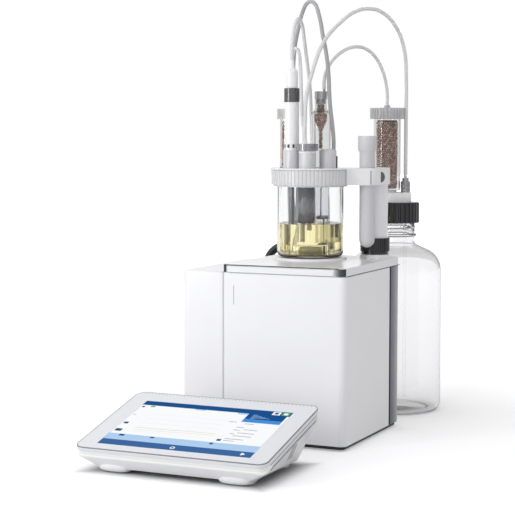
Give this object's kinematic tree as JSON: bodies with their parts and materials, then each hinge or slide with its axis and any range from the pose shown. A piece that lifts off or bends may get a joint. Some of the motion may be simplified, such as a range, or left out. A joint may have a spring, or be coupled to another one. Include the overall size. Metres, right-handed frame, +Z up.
{
  "type": "automatic titrator",
  "caption": "Bench titrator: white housing with stirrer, pump module, glass titration cell on a clamped arm with electrodes and drying tubes, waste bottle and tilted touch terminal.",
  "frame": {"origin": "on the table plane, under the middle of the whole object without its tubes and cables", "axes": "+Z up, -Y towards the user at the touch terminal, +X to the user's right"},
  "size_m": [0.208, 0.48, 0.4491],
  "materials": {
    "white_shell": "satin",
    "grey_shell": "satin metallic",
    "white_plastic": "satin",
    "ring_plastic": "matte",
    "head_plastic": "matte",
    "black_plastic": "matte",
    "dark_cap": "matte",
    "window": "glossy",
    "rubber": "matte",
    "steel": "brushed",
    "aluminium": "anodised",
    "motor": "matte",
    "circuit_board": "matte",
    "magnet": "ground",
    "clear_glass": "clear",
    "bottle_glass": "clear",
    "amber_liquid": "clear liquid",
    "ptfe": "waxy",
    "platinum": "polished",
    "beads": "granular",
    "clear_tube": "clear",
    "display": "glossy",
    "light": "translucent",
    "white_cable": "satin",
    "grey_cable": "satin",
    "black_hose": "satin"
  },
  "bodies": {
    "titrator": {"main_housing": "white_shell", "top_plate": "white_shell", "status_window": "window", "rear_cover": "grey_shell", "base_plate": "black_plastic", "rubber_feet": "rubber", "housing_screws": "steel", "pump_housing": "white_shell", "pump_ports": "black_plastic", "pump_motor": "motor", "pump_head": "aluminium", "stir_plate": "white_plastic", "motor_bracket": "steel", "stirrer_motor": "motor", "main_board": "circuit_board", "rear_sockets": "black_plastic", "cable_plugs": "black_plastic", "stand_column": "aluminium", "head_arm": "head_plastic", "cell_head": "head_plastic", "head_gasket": "rubber", "vessel": "clear_glass", "cell_solution": "amber_liquid", "sensor_electrode": "white_plastic", "platinum_pins": "platinum", "sensor_plug": "white_plastic", "port_fitting": "white_plastic", "inlet_tubes": "clear_tube", "generator_glass": "clear_glass", "generator_cap": "head_plastic", "drying_tube": "clear_glass", "sieve_fill": "beads", "waste_bottle": "bottle_glass", "bottle_insert": "white_plastic", "bottle_drying_tube": "clear_tube", "dip_tube": "clear_tube", "terminal_base": "white_shell", "terminal_bezel": "white_shell", "display": "display", "light_strip": "light", "terminal_board": "circuit_board", "waste_tube": "clear_tube", "vent_tube": "clear_tube", "sensor_cable": "white_cable", "generator_cable": "grey_cable", "supply_tube": "clear_tube", "link_hose": "black_hose"},
    "clamping_ring": {"vessel_ring": "ring_plastic"},
    "stand_nut": {"column_nut": "dark_cap"},
    "arm_clamp": {"clamp_screw": "steel"},
    "inlet_nut": {"port_nut": "dark_cap"},
    "sensor_lock": {"sensor_ring": "dark_cap"},
    "tube_cap": {"drying_cap": "clear_tube"},
    "bottle_lid": {"bottle_cap": "dark_cap"},
    "bottle_tube_cap": {"bottle_drying_cap": "clear_tube"},
    "suction_fitting": {"tube_fitting": "head_plastic"},
    "storage": {"storage_tube": "head_plastic"},
    "stirrer_rotor": {"magnet_rotor": "magnet"},
    "stirring_bar": {"stir_bar": "ptfe"},
    "pump_drive": {"pump_eccentric": "steel"}
  },
  "joints": [
    {"name": "ring_turn", "type": "hinge", "parent": "titrator", "child": "clamping_ring", "pos_m": [0.013, 0.039, 0.263], "axis": [0, 0, 1], "range_deg": [0, 60]},
    {"name": "column_nut_turn", "type": "hinge", "parent": "titrator", "child": "stand_nut", "pos_m": [0.0687, 0.0812, 0.191], "axis": [0, 0, 1], "range_deg": [0, 360]},
    {"name": "clamp_screw_turn", "type": "hinge", "parent": "titrator", "child": "arm_clamp", "pos_m": [0.0687, 0.0812, 0.2635], "axis": [0.6039, -0.7971, 0], "range_deg": [0, 360]},
    {"name": "port_nut_turn", "type": "hinge", "parent": "titrator", "child": "inlet_nut", "pos_m": [0.01632, 0.02289, 0.294], "axis": [0, 0, 1], "range_deg": [0, 360]},
    {"name": "sensor_ring_turn", "type": "hinge", "parent": "titrator", "child": "sensor_lock", "pos_m": [-0.00341, 0.02804, 0.347], "axis": [0, 0, 1], "range_deg": [0, 180]},
    {"name": "drying_cap_turn", "type": "hinge", "parent": "titrator", "child": "tube_cap", "pos_m": [-0.01452, 0.04382, 0.328], "axis": [0, 0, 1], "range_deg": [0, 360]},
    {"name": "bottle_cap_turn", "type": "hinge", "parent": "titrator", "child": "bottle_lid", "pos_m": [0.0535, 0.1895, 0.221], "axis": [0, 0, 1], "range_deg": [0, 540]},
    {"name": "bottle_tube_cap_turn", "type": "hinge", "parent": "titrator", "child": "bottle_tube_cap", "pos_m": [0.04362, 0.18489, 0.33], "axis": [0, 0, 1], "range_deg": [0, 360]},
    {"name": "suction_fitting_turn", "type": "hinge", "parent": "titrator", "child": "suction_fitting", "pos_m": [0.06256, 0.19373, 0.251], "axis": [0, 0, 1], "range_deg": [0, 360]},
    {"name": "storage_tube_lift", "type": "slide", "parent": "titrator", "child": "storage", "axis": [0, 0, 1], "range_m": [0, 0.1]},
    {"name": "rotor_spin", "type": "hinge", "parent": "titrator", "child": "stirrer_rotor", "pos_m": [0.013, 0.039, 0.171], "axis": [0, 0, 1], "continuous": true},
    {"name": "stir_bar_spin", "type": "hinge", "parent": "titrator", "child": "stirring_bar", "pos_m": [0.013, 0.039, 0.188], "axis": [0, 0, 1], "continuous": true},
    {"name": "pump_spin", "type": "hinge", "parent": "titrator", "child": "pump_drive", "pos_m": [-0.0636, 0.037, 0.031], "axis": [0, 1, 0], "continuous": true}
  ],
  "couplings": [
    {"joint": "stir_bar_spin", "follows": "rotor_spin", "ratio": 1}
  ]
}
